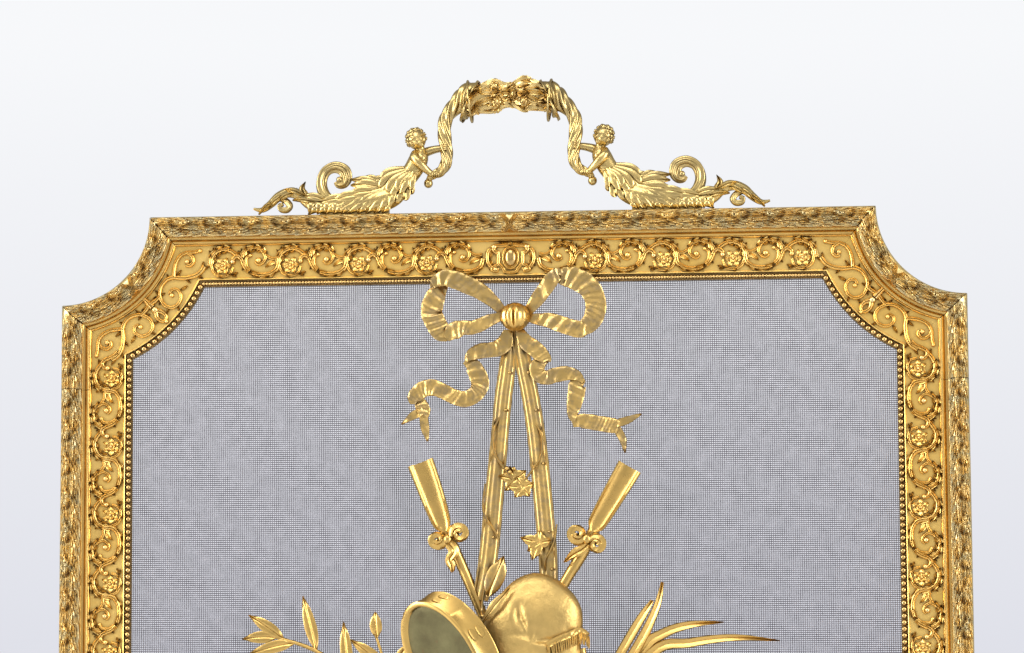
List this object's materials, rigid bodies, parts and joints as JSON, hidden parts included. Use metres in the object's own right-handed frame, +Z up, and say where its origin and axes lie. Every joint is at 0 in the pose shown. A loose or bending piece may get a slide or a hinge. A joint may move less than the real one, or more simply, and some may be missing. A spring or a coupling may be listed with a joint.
{
  "type": "fireplace screen",
  "caption": "Gilt bronze fireplace screen: a moulded frame with scooped top corners round a wire mesh, with a figured carrying handle, a hanging music trophy and scrolled feet.",
  "frame": {"origin": "on the floor, midway between the feet and under the middle of the frame", "axes": "+Z up, -Y the ornamented front, +X to the right seen from the front"},
  "size_m": [0.66, 0.21, 0.7948],
  "materials": {
    "laurel_gilt": "mercury gilt bronze, laurel leaves chased on a roll, slightly dulled and darkened in the hollows",
    "frieze_gilt": "mercury gilt bronze, scrolls chased on a matted ground, dark in the hollows",
    "handle_gilt": "cast and chased gilt bronze, satin with polished high spots",
    "trophy_gilt": "cast and chased gilt bronze, satin with burnished ribbons",
    "tambourine_skin": "bronze with a green-gold tarnish",
    "foot_gilt": "cast and chased gilt bronze, rubbed brighter on the toes",
    "back_strips": "rolled brass strip, brown with age",
    "mesh_wire": "plain woven steel wire cloth, darkened",
    "screw_steel": "slotted steel screw heads, dull"
  },
  "bodies": {
    "root": {"bagpipe_bag": "trophy_gilt", "bagpipe_chanter": "trophy_gilt", "bagpipe_fringe": "trophy_gilt", "bow_knot": "trophy_gilt", "bow_loop_left": "trophy_gilt", "bow_loop_right": "trophy_gilt", "cherub_left": "handle_gilt", "cherub_right": "handle_gilt", "crook_bow_left": "trophy_gilt", "crook_bow_right": "trophy_gilt", "crook_left": "trophy_gilt", "crook_right": "trophy_gilt", "flower_grip": "handle_gilt", "foot_left": "foot_gilt", "foot_right": "foot_gilt", "foot_screw_left": "screw_steel", "foot_screw_right": "screw_steel", "frame_screw_bottom_left": "screw_steel", "frame_screw_bottom_right": "screw_steel", "frame_screw_left": "screw_steel", "frame_screw_right": "screw_steel", "frame_screw_top_left": "screw_steel", "frame_screw_top_right": "screw_steel", "frieze_bottom": "frieze_gilt", "frieze_corner_left": "frieze_gilt", "frieze_corner_right": "frieze_gilt", "frieze_side_left": "frieze_gilt", "frieze_side_right": "frieze_gilt", "frieze_top": "frieze_gilt", "handle_screw_left": "screw_steel", "handle_screw_right": "screw_steel", "horn_left": "handle_gilt", "horn_right": "handle_gilt", "ivy_sprig": "trophy_gilt", "laurel_branch": "trophy_gilt", "laurel_strip_bottom": "laurel_gilt", "laurel_strip_corner_left": "laurel_gilt", "laurel_strip_corner_right": "laurel_gilt", "laurel_strip_side_left": "laurel_gilt", "laurel_strip_side_right": "laurel_gilt", "laurel_strip_top": "laurel_gilt", "laurel_strip_upper_side_left": "laurel_gilt", "laurel_strip_upper_side_right": "laurel_gilt", "reed_leaves": "trophy_gilt", "retainer_bottom": "back_strips", "retainer_left": "back_strips", "retainer_right": "back_strips", "retainer_top": "back_strips", "ribbon_tail_left": "trophy_gilt", "ribbon_tail_right": "trophy_gilt", "strap_left": "trophy_gilt", "strap_right": "trophy_gilt", "tambourine_hoop": "trophy_gilt", "tambourine_skin": "tambourine_skin", "tie_bow": "trophy_gilt", "trophy_screw_bag": "screw_steel", "trophy_screw_knot": "screw_steel", "trophy_screw_tie": "screw_steel", "wire_mesh": "mesh_wire"}
  },
  "joints": []
}
